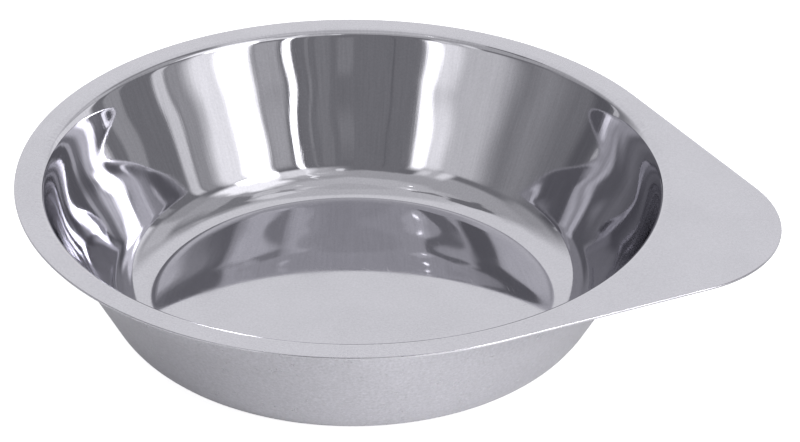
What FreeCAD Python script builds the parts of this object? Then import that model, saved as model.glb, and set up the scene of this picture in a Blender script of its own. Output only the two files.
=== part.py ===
import FreeCAD, Part
import math
import os

# A round dish pressed from one sheet of stainless steel. Its flat rim grows
# out into a broad, rounded tab at one side, which is the handle.
# Origin: centre of the base's underside. +X runs along the handle, +Z is up.
# Lengths are in millimetres and angles in degrees.

# Sheet
SHEET = 0.8            # thickness of the steel
EDGE_BREAK = 0.15      # dulled corners along the cut edge

# Outline, seen from above
RIM_RADIUS = 100.0     # outer edge of the round rim
TIP_RADIUS = 40.0      # round end of the handle
TIP_CENTRE = 88.5      # centre of that round end, out along +X

# Bowl, all on the side that faces up
MOUTH_RADIUS = 94.0    # where the flat rim begins to turn down
DEPTH = 45.5           # rim's top face down to the floor
WALL_LEAN = 26.0       # wall's lean from the vertical
RIM_BEND = 3.0         # bend from the rim into the wall
FLOOR_BEND = 15.0      # bend from the wall into the floor

# Worked out from the above
FLOOR_Z = SHEET
RIM_Z = SHEET + DEPTH
WALL_SLOPE = math.radians(90.0 - WALL_LEAN)


def at(radius, z):
    """A point in the XZ plane, at this distance from the bowl's axis."""
    return FreeCAD.Vector(radius, 0, z)


def on_arc(centre, radius, turn):
    """The point on an arc whose lowest point has turn 0, in radians."""
    return at(centre.x + radius * math.sin(turn), centre.z - radius * math.cos(turn))


def line(start, end):
    return Part.LineSegment(start, end).toShape()


def bend(centre, radius, start_turn, end_turn):
    """An arc about centre, given by the turns of its two ends."""
    turns = (start_turn, (start_turn + end_turn) / 2, end_turn)
    return Part.Arc(*[on_arc(centre, radius, turn) for turn in turns]).toShape()


def bend_centres():
    """Centres of the rim bend and the floor bend, with the wall straight between them."""
    rim_centre = at(MOUTH_RADIUS, RIM_Z - RIM_BEND)
    floor_centre_z = FLOOR_Z + FLOOR_BEND
    wall_drop = (rim_centre.z - floor_centre_z
                 + (RIM_BEND + FLOOR_BEND) * math.cos(WALL_SLOPE)) / math.sin(WALL_SLOPE)
    floor_centre_x = (rim_centre.x - wall_drop * math.cos(WALL_SLOPE)
                      - (RIM_BEND + FLOOR_BEND) * math.sin(WALL_SLOPE))
    return rim_centre, at(floor_centre_x, floor_centre_z)


def bowl():
    """Floor, floor bend, wall and rim bend, turned about the bowl's axis."""
    rim_centre, floor_centre = bend_centres()
    over_rim = math.pi + WALL_SLOPE            # turn where the wall meets the rim bend
    top = math.pi                              # turn at the top of the rim bend

    inside = [at(0, FLOOR_Z), on_arc(floor_centre, FLOOR_BEND, 0),
              on_arc(floor_centre, FLOOR_BEND, WALL_SLOPE),
              on_arc(rim_centre, RIM_BEND, over_rim), at(MOUTH_RADIUS, RIM_Z)]
    outer_bend, inner_bend = FLOOR_BEND + SHEET, RIM_BEND - SHEET
    outside = [at(0, 0), on_arc(floor_centre, outer_bend, 0),
               on_arc(floor_centre, outer_bend, WALL_SLOPE),
               on_arc(rim_centre, inner_bend, over_rim), at(MOUTH_RADIUS, RIM_Z - SHEET)]

    section = Part.Wire([
        line(inside[0], inside[1]),
        bend(floor_centre, FLOOR_BEND, 0, WALL_SLOPE),
        line(inside[2], inside[3]),
        bend(rim_centre, RIM_BEND, over_rim, top),
        line(inside[4], outside[4]),
        bend(rim_centre, inner_bend, top, over_rim),
        line(outside[3], outside[2]),
        bend(floor_centre, outer_bend, WALL_SLOPE, 0),
        line(outside[1], outside[0]),
        line(outside[0], inside[0]),
    ])
    return Part.Face(section).revolve(FreeCAD.Vector(), FreeCAD.Vector(0, 0, 1), 360)


def rim_outline():
    """The round rim, with straight sides running at a tangent to the handle's round end."""
    tangent = math.acos((RIM_RADIUS - TIP_RADIUS) / TIP_CENTRE)

    def edge_point(centre_x, radius, angle):
        return FreeCAD.Vector(centre_x + radius * math.cos(angle), radius * math.sin(angle), 0)

    rim_left, rim_right = (edge_point(0, RIM_RADIUS, side * tangent) for side in (1, -1))
    tip_left, tip_right = (edge_point(TIP_CENTRE, TIP_RADIUS, side * tangent) for side in (1, -1))
    return Part.Wire([
        Part.Arc(rim_left, edge_point(0, RIM_RADIUS, math.pi), rim_right).toShape(),
        line(rim_right, tip_right),
        Part.Arc(tip_right, edge_point(TIP_CENTRE, TIP_RADIUS, 0), tip_left).toShape(),
        line(tip_left, rim_left),
    ])


def rim_and_handle():
    """The flat flange around the bowl's mouth, one sheet thick."""
    plate = Part.Face(rim_outline()).extrude(FreeCAD.Vector(0, 0, SHEET))
    mouth = Part.makeCylinder(MOUTH_RADIUS, SHEET)
    flange = plate.cut(mouth)
    flange.translate(FreeCAD.Vector(0, 0, RIM_Z - SHEET))
    return flange


def is_on_cut_edge(edge):
    """True for the outline's edges, along the flange's top and bottom faces."""
    box = edge.BoundBox
    flat = box.ZLength < 0.01 and box.ZMin > RIM_Z - SHEET - 0.01
    beyond_mouth = all(math.hypot(v.X, v.Y) > MOUTH_RADIUS + 1 for v in edge.Vertexes)
    return flat and beyond_mouth


def dish():
    sheet = bowl().fuse(rim_and_handle()).removeSplitter()
    cut_edges = [edge for edge in sheet.Edges if is_on_cut_edge(edge)]
    solid = sheet.makeFillet(EDGE_BREAK, cut_edges)
    return solid.Solids[0]


os.makedirs("parts", exist_ok=True)
dish().exportStep("parts/dish.step")
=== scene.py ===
import math

import bpy
import numpy as np
from mathutils import Matrix, Vector

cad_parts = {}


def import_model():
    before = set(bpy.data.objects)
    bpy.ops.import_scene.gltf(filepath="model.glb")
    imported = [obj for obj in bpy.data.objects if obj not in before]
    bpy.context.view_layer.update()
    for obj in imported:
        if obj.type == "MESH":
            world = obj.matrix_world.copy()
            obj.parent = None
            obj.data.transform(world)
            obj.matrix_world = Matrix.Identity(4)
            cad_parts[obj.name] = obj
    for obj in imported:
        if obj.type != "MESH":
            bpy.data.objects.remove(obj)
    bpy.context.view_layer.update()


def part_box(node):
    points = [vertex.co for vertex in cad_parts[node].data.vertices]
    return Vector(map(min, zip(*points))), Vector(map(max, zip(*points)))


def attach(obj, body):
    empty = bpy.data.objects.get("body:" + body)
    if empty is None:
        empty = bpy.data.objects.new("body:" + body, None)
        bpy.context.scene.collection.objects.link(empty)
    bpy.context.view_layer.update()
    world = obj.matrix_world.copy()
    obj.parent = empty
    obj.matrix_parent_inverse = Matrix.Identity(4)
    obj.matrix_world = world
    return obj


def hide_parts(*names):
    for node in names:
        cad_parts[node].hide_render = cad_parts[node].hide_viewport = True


# A round pressed-steel dish with a flat tab handle. It replaces the CAD node
# with a finer mesh of the same sheet. +X runs along the handle, +Z is up.
# Lengths are in metres, or in millimetres where a name ends in MM. Angles are
# in degrees.

MM = 0.001
MICRON = 1e-6

# The sheet and its outline, seen from above
SHEET = 0.8 * MM
EDGE_BREAK = 0.32 * MM
RIM_RADIUS = 100.0 * MM
TIP_RADIUS = 40.0 * MM
TIP_CENTRE = 88.5 * MM

# The bowl's section, on the side that faces up
MOUTH_RADIUS = 94.0 * MM
FLOOR_BEND_MM = 15.5        # its radius
# The drawn wall's slope, at distances down from the mouth. The rim bends over
# until the first of them. Then the wall bulges a little, and is nearly
# straight below.
WALL_SLOPES_MM = [(3.4, 65.0), (7.0, 68.0), (20.0, 61.1), (33.0, 63.0), (43.3, 61.8)]
WALL_BLEND_MM = 1.5         # the slope changes over at least this distance
BLEND_FROM_MM = 3.0         # but nearer to the mouth the rim's bend is left as it is
FOLD_END_MM = 6.0           # the mesh is finest from the mouth to here

# Faint waves that drawing leaves in the wall, as a few random ripples
RIPPLES = 9
RIPPLE_SEED = 5
RIPPLES_ROUND = (4, 19)     # waves round the bowl
RIPPLE_LENGTH_MM = (30, 60)  # up and down the wall
RIPPLE_TILT = 0.12          # about the most that one ripple tilts the wall sideways

# How finely the mesh is divided
SECTION_STEPS = 4000        # along the bowl's section, before the mesh picks its rows from it
COLUMNS = 400
FLOOR_ROWS = 14
INNERMOST_ROW = 0.05        # the floor's first row, as a share of the floor's radius
WALL_ROWS = 72
FOLD_ROWS = 20
FLANGE_ROWS = 8
FLANGE_CROWDING = 0.7       # below 1, the flange's rows are closer together near its edge
EDGE_ROWS = 4

# Camera
HANDLE_TURN = 17.0          # the handle points this far towards the camera from its right
CAMERA_PITCH = 30.7
CAMERA_ROLL = 0.58
CAMERA_DISTANCE = 1.0
CAMERA_LENS_MM = 151.8
CAMERA_SENSOR_MM = 36
CAMERA_SEES = (0.05, 50)    # nearest and furthest
AIM_RIGHT = 14.1 * MM       # aimed this far right of the rim's centre, and this far above it
AIM_UP = -13.8 * MM


# ---------------------------------------------------------------- dish mesh

def wall_slope(along):
    """Slope in degrees at these distances in mm down from the mouth, eased between the stated ones."""
    places, slopes = zip(*WALL_SLOPES_MM)
    numbers = range(len(places))
    position = np.interp(along, places, numbers)
    whole = np.floor(position)
    eased = whole + 0.5 - 0.5 * np.cos(math.pi * (position - whole))
    into_bend = np.clip(along - places[-1], 0, None)
    return np.interp(eased, numbers, slopes) - np.degrees(into_bend / FLOOR_BEND_MM)


def bowl_section(rim_z):
    """Radius, height, slope and distance down from the mouth, for rows from the floor's middle outwards."""
    wall_top, top_slope = WALL_SLOPES_MM[0]
    wall_foot, foot_slope = WALL_SLOPES_MM[-1]
    length = wall_foot + FLOOR_BEND_MM * math.radians(foot_slope)
    along, step = np.linspace(0, length, SECTION_STEPS, retstep=True)
    window = np.hanning(2 * int(WALL_BLEND_MM / step) + 1)
    sharp = np.where(along < wall_top, along * top_slope / wall_top, wall_slope(along))
    blended = np.convolve(np.pad(sharp, len(window) // 2, mode="edge"), window / window.sum(), "valid")
    slope = np.radians(np.where(along < BLEND_FROM_MM, sharp, blended))
    depth = np.cumsum(np.sin(slope)) * step
    stretch = (rim_z - SHEET) / depth[-1]
    radius = MOUTH_RADIUS - np.cumsum(np.cos(slope)) * step * stretch
    height = rim_z - depth * stretch

    near_mouth = np.linspace(0, FOLD_END_MM, FOLD_ROWS + 1)
    down_wall = np.linspace(FOLD_END_MM, length, WALL_ROWS + 1)[1:]
    picks = np.concatenate([near_mouth, down_wall])[::-1]
    wall = np.array([np.interp(picks, along, values) for values in (radius, height, slope)] + [picks])
    wall[:3, -1] = MOUTH_RADIUS, rim_z, 0.0
    wall[1:3, 0] = SHEET, 0.0
    flat = np.linspace(INNERMOST_ROW, 1.0, FLOOR_ROWS)[:-1] * wall[0, 0]
    floor = np.array([flat, flat * 0 + SHEET, flat * 0, flat * 0 + length])
    return np.hstack([floor, wall])


def ripples(angles, along, length):
    """Height of the wall's waves, and its slopes round the bowl and down the wall, as grids."""
    rng = np.random.default_rng(RIPPLE_SEED)
    share = np.clip(along / length, 0, 1)
    fade = np.sin(math.pi * share)[:, None] ** 2
    fade_slope = (math.pi / (length * MM)) * np.sin(2 * math.pi * share)[:, None]
    height, round_slope, down_slope = 0, 0, 0
    for _ in range(RIPPLES):
        waves = int(rng.integers(*RIPPLES_ROUND))
        pitch = 2 * math.pi / (rng.uniform(*RIPPLE_LENGTH_MM) * MM)
        start, shift = rng.uniform(0, 2 * math.pi, 2)
        size = math.radians(RIPPLE_TILT) * MOUTH_RADIUS / waves
        turn = waves * angles[None, :] + start
        rise = (pitch * along * MM + shift)[:, None]
        wave = size * np.cos(turn) * np.cos(rise)
        height = height + fade * wave
        round_slope = round_slope - fade * size * waves * np.sin(turn) * np.cos(rise)
        down_slope = down_slope + fade_slope * wave - fade * size * pitch * np.cos(turn) * np.sin(rise)
    return height, round_slope, down_slope


def bowl_grid(rim_z, angles):
    """Points and normals of the bowl's upper face, as rows of columns."""
    radius, height, slope, along = bowl_section(rim_z)
    out = np.stack([np.cos(angles), np.sin(angles), angles * 0], 1)[None]
    round_bowl = np.stack([-np.sin(angles), np.cos(angles), angles * 0], 1)[None]
    up = np.array([0.0, 0.0, 1.0])
    sine, cosine = np.sin(slope)[:, None, None], np.cos(slope)[:, None, None]
    normal = up * cosine - out * sine
    down = -out * cosine - up * sine
    wave, round_slope, down_slope = ripples(angles, along, along[0])
    points = out * radius[:, None, None] + up * height[:, None, None] + normal * wave[..., None]
    tilted = (normal - down * down_slope[..., None]
              - round_bowl * (round_slope / radius[:, None])[..., None])
    return points, tilted / np.linalg.norm(tilted, axis=2, keepdims=True)


def outline(angles):
    """Edge of the rim and handle at these angles round the axis: points and outward directions."""
    tangent = math.acos((RIM_RADIUS - TIP_RADIUS) / TIP_CENTRE)
    tip_top = math.atan2(TIP_RADIUS * math.sin(tangent), TIP_CENTRE + TIP_RADIUS * math.cos(tangent))
    points, outward = [], []
    for a in angles:
        side = 1 if math.sin(a) >= 0 else -1
        away = abs(math.remainder(a, 2 * math.pi))
        if away >= tangent:
            reach, facing = RIM_RADIUS, a
        elif away >= tip_top:
            reach, facing = RIM_RADIUS / math.cos(tangent - away), side * tangent
        else:
            near = TIP_CENTRE * math.cos(away)
            reach = near + math.sqrt(TIP_RADIUS**2 - (TIP_CENTRE * math.sin(away))**2)
            facing = math.atan2(reach * math.sin(a), reach * math.cos(a) - TIP_CENTRE)
        points.append((reach * math.cos(a), reach * math.sin(a), 0))
        outward.append((math.cos(facing), math.sin(facing), 0))
    return np.array(points), np.array(outward)


def dish_grid(rim_z):
    """The whole skin as rows of columns: points, normals, finish names, and wear from 0 to 1."""
    angles = np.arange(COLUMNS) * 2 * math.pi / COLUMNS
    up = np.array([0.0, 0.0, 1.0])
    edge, outward = outline(angles)
    inset = edge - outward * EDGE_BREAK
    bowl, bowl_normals = bowl_grid(rim_z, angles)
    mouth = bowl[-1] * (1, 1, 0)
    shares = np.linspace(0, 1, FLANGE_ROWS + 1)[1:] ** FLANGE_CROWDING
    breaks = np.linspace(0, math.pi / 2, EDGE_ROWS + 1)
    rows = []

    def add(points, normals, finish, wear):
        rows.append((points, np.broadcast_to(normals, points.shape), finish, wear))

    for points, normals in zip(bowl, bowl_normals):
        add(points, normals, "inside", 0.0)
    for share in shares:
        worn = 1.0 if share == 1 else 0.0
        add(mouth + (inset - mouth) * share + up * rim_z, up, "rim", worn)
    for turn in breaks[1:]:
        drop = EDGE_BREAK * (1 - math.cos(turn))
        add(inset + outward * EDGE_BREAK * math.sin(turn) + up * (rim_z - drop),
            outward * math.sin(turn) + up * math.cos(turn), "edge", 1.0)
    for turn in breaks[::-1]:
        drop = SHEET - EDGE_BREAK * (1 - math.cos(turn))
        add(inset + outward * EDGE_BREAK * math.sin(turn) + up * (rim_z - drop),
            outward * math.sin(turn) - up * math.cos(turn), "edge", 1.0)
    for share in shares[::-1][1:]:
        add(mouth + (inset - mouth) * share + up * (rim_z - SHEET), -up, "outside", 0.0)
    for points, normals in zip(bowl[::-1], bowl_normals[::-1]):
        add(points - normals * SHEET, -normals, "outside", 0.0)
    return rows


def dish_mesh(rim_z, materials):
    rows = dish_grid(rim_z)
    verts = [tuple(p) for points, _, _, _ in rows for p in points] + [(0, 0, SHEET), (0, 0, 0)]
    normals = [tuple(n) for _, normals, _, _ in rows for n in normals] + [(0, 0, 1), (0, 0, -1)]
    wear = [w for _, _, _, w in rows for _ in range(COLUMNS)] + [0.0, 0.0]
    top, bottom = len(verts) - 2, len(verts) - 1
    last = (len(rows) - 1) * COLUMNS
    order = list(materials)
    faces, slots = [], []
    for j in range(COLUMNS):
        k = (j + 1) % COLUMNS
        faces.append((j, k, top))
        slots.append(order.index("inside"))
        faces.append((last + k, last + j, bottom))
        slots.append(order.index("outside"))
        for i in range(len(rows) - 1):
            near, far = i * COLUMNS, (i + 1) * COLUMNS
            faces.append((far + j, far + k, near + k, near + j))
            slots.append(order.index(rows[i + 1][2]))
    mesh = bpy.data.meshes.new("dish")
    mesh.from_pydata(verts, [], faces)
    mesh.polygons.foreach_set("material_index", slots)
    for name in order:
        mesh.materials.append(materials[name])
    mesh.attributes.new("wear", "FLOAT", "POINT").data.foreach_set("value", wear)
    mesh.shade_smooth()
    mesh.normals_split_custom_set_from_vertices(normals)
    return mesh


# ---------------------------------------------------------------- node helpers

class Nodes:
    """Short ways to add nodes to one tree."""

    def __init__(self, tree):
        self.tree = tree

    def add(self, kind, inputs=(), **settings):
        """A node with these settings; inputs is (socket, number or output) pairs."""
        node = self.tree.nodes.new(kind)
        for name, value in settings.items():
            setattr(node, name, value)
        for socket, value in inputs:
            if isinstance(value, bpy.types.NodeSocket):
                self.tree.links.new(value, node.inputs[socket])
            else:
                node.inputs[socket].default_value = value
        return node

    def math(self, operation, *values):
        return self.add("ShaderNodeMath", enumerate(values), operation=operation).outputs[0]

    def mix(self, a, b, share):
        return self.math("MULTIPLY_ADD", self.math("SUBTRACT", b, a), share, a)

    def spread(self, value, low, high, to_low=0.0, to_high=1.0):
        """The value, eased from the range low to high onto another range."""
        node = self.add("ShaderNodeMapRange", [("Value", value), ("From Min", low), ("From Max", high),
                                               ("To Min", to_low), ("To Max", to_high)],
                        interpolation_type="SMOOTHSTEP")
        return node.outputs["Result"]

    def vector(self, x, y, z):
        return self.add("ShaderNodeCombineXYZ", enumerate((x, y, z))).outputs[0]

    def parts(self, vector):
        return self.add("ShaderNodeSeparateXYZ", [(0, vector)]).outputs

    def turned(self, vector, angle):
        """The vector, turned by this many degrees about the Z axis."""
        return self.add("ShaderNodeVectorRotate", [("Vector", vector), ("Angle", math.radians(angle))],
                        rotation_type="Z_AXIS").outputs[0]

    def noise(self, vector, scale, detail=2.0, roughness=0.5):
        node = self.add("ShaderNodeTexNoise", [("Vector", vector), ("Scale", scale), ("Detail", detail),
                                               ("Roughness", roughness)])
        return node.outputs["Fac"]

    def bump(self, height, depth, under=None):
        """A bump this many metres deep, on top of another."""
        inputs = [("Height", height), ("Distance", depth), ("Strength", 1.0)]
        if under is not None:
            inputs.append(("Normal", under))
        return self.add("ShaderNodeBump", inputs).outputs[0]


# ---------------------------------------------------------------- steel

STEEL = (0.571, 0.565, 0.604)
PER_MM = 1000.0             # a noise scale of one feature a millimetre
WALL_STARTS = (4 * MM, 12 * MM)     # the floor's finish gives way to the wall's between these heights
HAIRLINE_SCALE = 1.6 * PER_MM
HAIRLINE_RARE = (0.70, 0.78)        # noise from here up is a hairline
HAIRLINE_LAYER = 0.37               # keeps the sets of hairlines apart in the noise
DRAW_LINE_STRETCH = 0.05            # noise this much slower down the wall, for long lines
SHEAR_STRETCH = 0.15                # and across the sheet's thickness, for shear marks
WORN_ROUGHNESS = 0.12


def steel(name):
    """A metal material: its nodes, its shader, and the place on the surface in metres."""
    material = bpy.data.materials.new(name)
    material.use_nodes = True
    nodes = Nodes(material.node_tree)
    shader = material.node_tree.nodes["Principled BSDF"]
    shader.inputs["Metallic"].default_value = 1.0
    place = nodes.add("ShaderNodeTexCoord").outputs["Object"]
    return material, nodes, shader, place


def finish(nodes, shader, shade, roughness, normal):
    """Joins a grey level, a roughness and a normal to the shader. A Mix node's sockets go by number."""
    tint = nodes.add("ShaderNodeMix", [(0, 1.0), (6, (*STEEL, 1))], data_type="RGBA", blend_type="MULTIPLY")
    grey = nodes.add("ShaderNodeCombineColor", enumerate((shade, shade, shade))).outputs[0]
    link = nodes.tree.links.new
    link(grey, tint.inputs[7])
    link(tint.outputs[2], shader.inputs["Base Color"])
    link(roughness, shader.inputs["Roughness"])
    link(normal, shader.inputs["Normal"])


def roughen(nodes, roughness, marks, amount):
    """The roughness, raised by this much on the marks."""
    return nodes.math("MULTIPLY_ADD", marks, amount, roughness)


def speckle(nodes, shade, grain, amount):
    """The shade, varied with the grain over a range this wide."""
    return nodes.math("MULTIPLY", shade, nodes.math("MULTIPLY_ADD", grain, amount, 1.0 - amount / 2))


def scratches(nodes, flat, angles, reach=0.06):
    """Fine straight hairlines at a few angles on a flat vector; 1 on a line and 0 off it."""
    total = None
    for number, angle in enumerate(angles):
        x, y, _ = nodes.parts(nodes.turned(flat, angle))
        drawn = nodes.vector(nodes.math("MULTIPLY", x, reach), y, HAIRLINE_LAYER * number)
        lines = nodes.spread(nodes.noise(drawn, HAIRLINE_SCALE, detail=1.0), *HAIRLINE_RARE)
        total = lines if total is None else nodes.math("MAXIMUM", total, lines)
    return total


def inside_steel():
    """Bright drawn steel: faint draw lines down the wall, a soft haze, and light hairlines on the floor."""
    material, nodes, shader, place = steel("steel_bright_inside")
    x, y, z = nodes.parts(place)
    round_bowl = nodes.math("MULTIPLY", nodes.math("ARCTAN2", y, x), MOUTH_RADIUS)
    on_wall = nodes.spread(z, *WALL_STARTS)
    on_floor = nodes.math("SUBTRACT", 1.0, on_wall)
    drawn = nodes.vector(round_bowl, nodes.math("MULTIPLY", z, DRAW_LINE_STRETCH), 0.0)
    draw_lines = nodes.mix(0.5, nodes.noise(drawn, 0.9 * PER_MM, detail=3.0, roughness=0.6), on_wall)
    grain = nodes.noise(place, 1.5 * PER_MM, detail=3.0, roughness=0.7)
    haze = nodes.noise(place, 0.055 * PER_MM, detail=3.0)
    hairlines = nodes.math("MULTIPLY", scratches(nodes, place, (12, 58, 131)), on_floor)
    hazy = nodes.spread(haze, low=0.35, high=0.7, to_low=0.025, to_high=0.06)
    roughness = roughen(nodes, hazy, hairlines, amount=0.06)
    clouded = nodes.spread(haze, low=0.3, high=0.7, to_low=0.985, to_high=0.95)
    lined = speckle(nodes, clouded, draw_lines, amount=0.25)
    shade = speckle(nodes, lined, grain, amount=0.28)
    normal = nodes.bump(draw_lines, 4 * MICRON, nodes.bump(grain, 1.2 * MICRON))
    finish(nodes, shader, shade, roughness, normal)
    return material


def rim_steel():
    """Fine satin on the rim and handle, burnished along the outer edge, with light hairlines."""
    material, nodes, shader, place = steel("steel_satin_rim")
    grain = nodes.noise(place, 2.0 * PER_MM, detail=3.0, roughness=0.7)
    cloud = nodes.noise(place, 0.05 * PER_MM, detail=4.0)
    hairlines = scratches(nodes, place, (20, 74, 115, 160), reach=0.04)
    worn = nodes.add("ShaderNodeAttribute", attribute_name="wear").outputs["Fac"]
    satin = nodes.spread(cloud, low=0.3, high=0.7, to_low=0.19, to_high=0.25)
    burnished = nodes.mix(satin, WORN_ROUGHNESS, worn)
    roughness = roughen(nodes, burnished, hairlines, amount=0.07)
    clouded = nodes.spread(cloud, low=0.3, high=0.7, to_low=1.01, to_high=0.975)
    shade = speckle(nodes, clouded, grain, amount=0.3)
    normal = nodes.bump(grain, 2.5 * MICRON, nodes.bump(hairlines, 1 * MICRON))
    finish(nodes, shader, shade, roughness, normal)
    return material


def cut_steel():
    """The trimmed edge: short shear marks across the sheet's thickness, rubbed bright by handling."""
    material, nodes, shader, place = steel("steel_cut_edge")
    x, y, z = nodes.parts(place)
    sheared = nodes.vector(x, y, nodes.math("MULTIPLY", z, SHEAR_STRETCH))
    marks = nodes.noise(sheared, 1.8 * PER_MM, detail=3.0, roughness=0.65)
    rubbed = nodes.noise(place, 0.08 * PER_MM, detail=2.0)
    smoothed = nodes.spread(rubbed, low=0.35, high=0.65, to_low=0.16, to_high=0.30)
    roughness = roughen(nodes, smoothed, marks, amount=0.05)
    shade = nodes.spread(marks, low=0.3, high=0.75, to_low=1.0, to_high=0.88)
    finish(nodes, shader, shade, roughness, nodes.bump(marks, 6 * MICRON))
    return material


def outside_steel():
    """Mottled satin under the rim and round the outside, duller in patches."""
    material, nodes, shader, place = steel("steel_satin_outside")
    grain = nodes.noise(place, 1.2 * PER_MM, detail=3.0, roughness=0.7)
    mottle = nodes.noise(place, 0.3 * PER_MM, detail=4.0, roughness=0.7)
    cloud = nodes.noise(place, 0.03 * PER_MM, detail=2.0)
    hairlines = scratches(nodes, place, (35, 98, 150), reach=0.05)
    satin = nodes.spread(mottle, low=0.3, high=0.7, to_low=0.27, to_high=0.36)
    roughness = roughen(nodes, satin, hairlines, amount=0.05)
    blotch = nodes.mix(mottle, cloud, share=0.6)
    blotched = nodes.spread(blotch, low=0.35, high=0.65, to_low=1.0, to_high=0.94)
    mottled = speckle(nodes, blotched, mottle, amount=0.25)
    shade = speckle(nodes, mottled, grain, amount=0.6)
    normal = nodes.bump(grain, 4 * MICRON, nodes.bump(mottle, 15 * MICRON))
    finish(nodes, shader, shade, roughness, normal)
    return material


# ---------------------------------------------------------------- studio

# What stands round the dish, for the steel to mirror, painted one over another
# on a grey room. Each has its range of azimuth, clockwise from straight behind
# the dish as the camera sees it, its range of elevation, up from the floor, and
# its brightness, where 1 is the white backdrop's. The last two numbers say how
# many degrees its sides, and its top and foot, take to fade, either way.
ROOM = 0.26
STUDIO = [
    ("upper room", (60, 300), (38, 120), 0.57, 14, 3),
    ("dark upper curtain", (146, 213), (-90, 49), 0.24, 2.5, 2.5),
    ("left wall's upper part", (264, 300), (27, 42), 0.48, 8, 4),
    ("right-hand wall", (46, 74), (26, 42), 0.74, 6, 3),
    ("right-hand wall's far end", (72, 99), (29, 42), 0.5, 5, 2),
    ("white backdrop", (-58, 44), (-90, 120), 1.0, 14, 5),
    ("backdrop's lit side", (40, 69), (-90, 24), 1.1, 2, 4),
    ("grey stand", (76, 84.5), (-90, 24), 0.45, 1, 4),
    ("slit beside the softbox", (99.5, 104.8), (-90, 26), 0.95, 1.2, 4),
    ("grey behind the slit", (105.5, 114), (-90, 28), 0.46, 1.5, 4),
    ("softbox spill", (102, 134), (37, 63), 1.65, 5, 4),
    ("softbox rim", (114, 131), (-90, 34), 1.35, 4, 6),
    ("softbox", (127, 138.5), (-90, 46), 4.0, 3.2, 8),
    ("softbox head", (119, 138), (34.5, 45), 16.0, 3, 3),
    ("reflector's back", (141, 150.5), (-90, 30), 0.58, 1.6, 6),
    ("strip light", (152.2, 155.2), (-90, 46), 3.0, 0.6, 6),
    ("dark curtain", (157, 204), (-90, 49), 0.26, 1, 2.5),
    ("dim wall over the curtain", (140, 171), (40, 60), 0.7, 9, 3),
    ("lit wall over the strip light", (138, 158), (39, 54), 1.2, 4, 3),
    ("strip light's far end", (152.6, 154.8), (42, 64), 1.5, 0.8, 4),
    ("curtain's first fold", (160.6, 161.8), (-90, 40), 0.36, 0.4, 4),
    ("curtain's second fold", (164.5, 170), (-90, 36), 0.31, 0.6, 6),
    ("curtain's third fold", (173, 179), (-90, 26), 0.33, 0.8, 4),
    ("gap in the curtain", (194.3, 195.1), (-90, 40), 0.2, 0.3, 4),
    ("lamp over the curtain", (169.5, 173.5), (45, 51), 1.2, 1, 1.5),
    ("left wall", (250, 264), (-90, 27), 0.38, 8, 5),
    ("lit wall on the left", (210, 242), (-90, 28), 0.8, 8, 3),
    ("window", (207.5, 221), (-90, 36), 1.25, 3, 5),
    ("window's bright side", (207.5, 213), (-90, 30), 2.6, 1.6, 5),
    ("window's upper pane", (213, 231), (28, 47), 0.74, 1.8, 5),
    ("pane's lit left side", (214, 219), (33, 44), 1.05, 1.6, 5),
    ("pane's lit right side", (224, 229.5), (29, 44), 1.15, 1.8, 5),
    ("dark stand", (278, 287.5), (-90, 22), 0.16, 3, 3),
    ("slit on the left", (288.6, 291.6), (-90, 19), 0.75, 0.6, 3),
    ("ceiling", (0, 360), (67, 120), 0.76, 0, 3),
    ("ceiling over the dish", (0, 360), (82.5, 120), 0.68, 0, 2),
    ("right-hand light panel", (52, 75), (69.5, 77), 1.05, 2.5, 1.2),
    ("light batten", (72, 104), (78.4, 81), 0.95, 4, 0.8),
    ("vent on the right", (77.5, 98), (71, 77), 0.5, 1.2, 0.8),
    ("lower light panel", (79, 104), (66.5, 70), 0.88, 3, 1),
    ("dark beam on the right", (56, 88), (57.5, 66.5), 0.32, 3, 1.5),
    ("small lamp on the right", (119, 125), (72, 75), 1.1, 1.5, 0.8),
    ("left-hand light panel", (250, 277), (75.4, 78.2), 0.98, 2, 0.6),
    ("vent on the left", (279, 294), (69.8, 77.5), 0.34, 1.2, 0.6),
    ("dark beam on the left", (279, 305), (58, 68), 0.25, 2, 1.5),
]
# Lamps, painted last. Their edges don't wander, as those of the studio's items do.
LAMPS = [
    ("lamp in the left panel", (267, 270), (76.7, 77.6), 4.5, 0.8, 0.3),
    ("small lamp on the left", (239.5, 242.5), (72.2, 73.3), 4.5, 0.6, 0.3),
]
# High up, the edges of the studio's items wander, so that the ceiling isn't all
# straight bands.
WANDER_FROM, WANDER_FULL = 40, 55           # elevations
WANDER_TURN, WANDER_RISE = 24.0, 9.0        # the whole range of the shifts sideways and up
WANDER_SCALE = 7.0
BLUE_CAST = 0.014           # extra blue that shows only where the room is dark
BACKDROP_SEEN = 1.05        # the backdrop's brightness as the camera sees it
MIRROR_BOUNCES = 14         # the bowl mirrors itself many times over at its sides
FLOOR_SIZE = 12.0
FLOOR_WHITE = 0.85
FLOOR_ROUGHNESS = 0.9
# For the steel to mirror, the table glows along two lanes that run away from the
# camera, painted pools of light: a faint one through the dish, and a bright one
# to its right, outside the bowl. The camera sees it glow evenly, so the table
# fades into the backdrop.
GLOW_DIM, GLOW_FAINT, GLOW_SEEN = 0.07, 0.38, 0.80     # off both lanes, on the faint one, to the camera
GLOW_MIDDLE, GLOW_REACH = 24 * MM, 85 * MM      # the faint lane's, across the view
# Painted shadow: the glow is dimmed under the dish, so the steel mirrors a darker floor there.
PAINTED_DISH_SHADOW = 0.35           # how much of its glow is left under the dish
PAINTED_SHADOW_EDGE = (60 * MM, 80 * MM)     # it comes back between these, away from the bowl's axis
BRIGHT_GLOW = 0.85
BRIGHT_MIDDLE = 84 * MM
BRIGHT_FADES = (32 * MM, 50 * MM)   # either side of its middle, across the view
BRIGHT_STARTS = (112 * MM, 135 * MM)    # away from the bowl's axis


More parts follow.
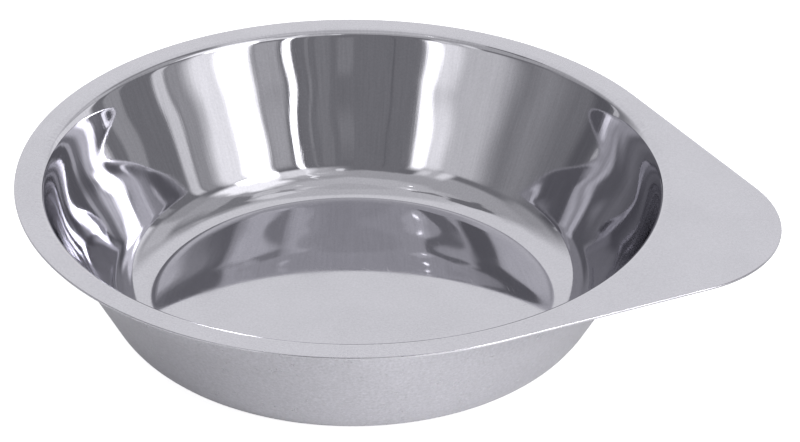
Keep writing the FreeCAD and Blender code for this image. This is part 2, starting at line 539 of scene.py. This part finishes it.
def studio_world():
    world = bpy.data.worlds.new("studio")
    bpy.context.scene.world = world
    world.use_nodes = True
    world.node_tree.nodes.clear()
    nodes = Nodes(world.node_tree)
    direction = nodes.add("ShaderNodeTexCoord").outputs["Generated"]
    in_view = nodes.turned(direction, -HANDLE_TURN)
    x, y, z = nodes.parts(in_view)
    azimuth = nodes.math("MULTIPLY", nodes.math("ARCTAN2", x, y), math.degrees(1))
    elevation = nodes.math("MULTIPLY", nodes.math("ARCSINE", z), math.degrees(1))
    wander = nodes.spread(elevation, WANDER_FROM, WANDER_FULL)

    def shifted(angle, most, place):
        drift = nodes.math("MULTIPLY_ADD", nodes.noise(place, WANDER_SCALE, detail=1.0), most, -most / 2)
        return nodes.math("MULTIPLY_ADD", drift, wander, angle)

    wandering = (shifted(azimuth, WANDER_TURN, in_view),
                 shifted(elevation, WANDER_RISE, nodes.vector(y, z, x)))

    def inside(angle, low, high, soft, full_turn):
        """1 within the range and 0 outside it, fading over soft either side of each end."""
        if high - low >= full_turn:
            return 1.0
        off = nodes.math("SUBTRACT", angle, (low + high) / 2)
        if full_turn == 360:
            off = nodes.math("WRAP", off, 180, -180)
        half = (high - low) / 2
        return nodes.spread(nodes.math("ABSOLUTE", off), half - soft, half + soft, 1.0, 0.0)

    light = ROOM
    for items, (turn, rise) in ((STUDIO, wandering), (LAMPS, (azimuth, elevation))):
        for _, across, height, level, soft_sides, soft_ends in items:
            share = nodes.math("MULTIPLY", inside(turn, *across, soft_sides, 360),
                               inside(rise, *height, soft_ends, 180))
            light = nodes.mix(light, level, share)
    seen = nodes.add("ShaderNodeLightPath").outputs["Is Camera Ray"]
    light = nodes.mix(light, BACKDROP_SEEN, seen)
    bluish = nodes.math("ADD", light, BLUE_CAST)
    colour = nodes.add("ShaderNodeCombineColor", enumerate((light, light, bluish))).outputs[0]
    background = nodes.add("ShaderNodeBackground", [("Color", colour), ("Strength", 1.0)])
    nodes.add("ShaderNodeOutputWorld", [("Surface", background.outputs[0])])


def studio_floor():
    """A pale table, white, that glows: evenly to the camera, and in painted pools of light and a painted
    shadow for the steel to mirror.
    """
    half = FLOOR_SIZE / 2
    corners = [(x * half, y * half, 0) for x, y in ((-1, -1), (1, -1), (1, 1), (-1, 1))]
    mesh = bpy.data.meshes.new("floor")
    mesh.from_pydata(corners, [], [(0, 1, 2, 3)])
    material = bpy.data.materials.new("floor")
    material.use_nodes = True
    nodes = Nodes(material.node_tree)
    shader = material.node_tree.nodes["Principled BSDF"]
    shader.inputs["Base Color"].default_value = (FLOOR_WHITE, FLOOR_WHITE, FLOOR_WHITE, 1)
    shader.inputs["Roughness"].default_value = FLOOR_ROUGHNESS
    shader.inputs["Specular IOR Level"].default_value = 0.0
    shader.inputs["Emission Color"].default_value = (1, 1, 1, 1)
    place = nodes.add("ShaderNodeTexCoord").outputs["Object"]
    across = nodes.parts(nodes.turned(place, -HANDLE_TURN))[0]
    distance = nodes.add("ShaderNodeVectorMath", [(0, place)], operation="LENGTH").outputs["Value"]
    off_faint = nodes.math("ABSOLUTE", nodes.math("SUBTRACT", across, GLOW_MIDDLE))
    faint = nodes.spread(off_faint, 0.0, GLOW_REACH, GLOW_FAINT, GLOW_DIM)
    # painted shadow under the dish, in the faint lane's glow
    lit = nodes.math("MULTIPLY", faint, nodes.spread(distance, *PAINTED_SHADOW_EDGE, PAINTED_DISH_SHADOW, 1.0))
    # a painted pool of light: the bright lane beyond the dish, on its right
    off_bright = nodes.math("ABSOLUTE", nodes.math("SUBTRACT", across, BRIGHT_MIDDLE))
    bright = nodes.math("MULTIPLY", nodes.spread(off_bright, *BRIGHT_FADES, 1.0, 0.0),
                        nodes.spread(distance, *BRIGHT_STARTS))
    seen = nodes.add("ShaderNodeLightPath").outputs["Is Camera Ray"]
    glow = nodes.mix(nodes.mix(lit, BRIGHT_GLOW, bright), GLOW_SEEN, seen)
    material.node_tree.links.new(glow, shader.inputs["Emission Strength"])
    mesh.materials.append(material)
    floor = bpy.data.objects.new("floor", mesh)
    bpy.context.scene.collection.objects.link(floor)


def camera(rim_centre):
    pitch, roll = math.radians(CAMERA_PITCH), math.radians(CAMERA_ROLL)
    turn = Matrix.Rotation(math.radians(HANDLE_TURN), 3, "Z")
    right = turn @ Vector((1, 0, 0))
    forward = turn @ Vector((0, math.cos(pitch), -math.sin(pitch)))
    up = right.cross(forward)
    data = bpy.data.cameras.new("camera")
    data.lens = CAMERA_LENS_MM
    data.sensor_width = CAMERA_SENSOR_MM
    data.clip_start, data.clip_end = CAMERA_SEES
    view = bpy.data.objects.new("camera", data)
    bpy.context.scene.collection.objects.link(view)
    place = rim_centre - forward * CAMERA_DISTANCE + right * AIM_RIGHT + up * AIM_UP
    rolled_right = right * math.cos(roll) + up * math.sin(roll)
    rolled_up = up * math.cos(roll) - right * math.sin(roll)
    facing = Matrix((rolled_right, rolled_up, -forward)).transposed().to_4x4()
    view.matrix_world = Matrix.Translation(place) @ facing
    bpy.context.scene.camera = view


# ---------------------------------------------------------------- scene

def main():
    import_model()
    rim_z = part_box("dish")[1].z

    materials = {"inside": inside_steel(), "rim": rim_steel(),
                 "edge": cut_steel(), "outside": outside_steel()}
    dish = bpy.data.objects.new("pressed_dish", dish_mesh(rim_z, materials))
    bpy.context.scene.collection.objects.link(dish)
    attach(dish, "root")
    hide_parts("dish")

    studio_floor()
    studio_world()
    camera(Vector((0, 0, rim_z)))
    scene = bpy.context.scene
    scene.view_settings.view_transform = "Standard"
    scene.cycles.max_bounces = scene.cycles.glossy_bounces = MIRROR_BOUNCES


main()
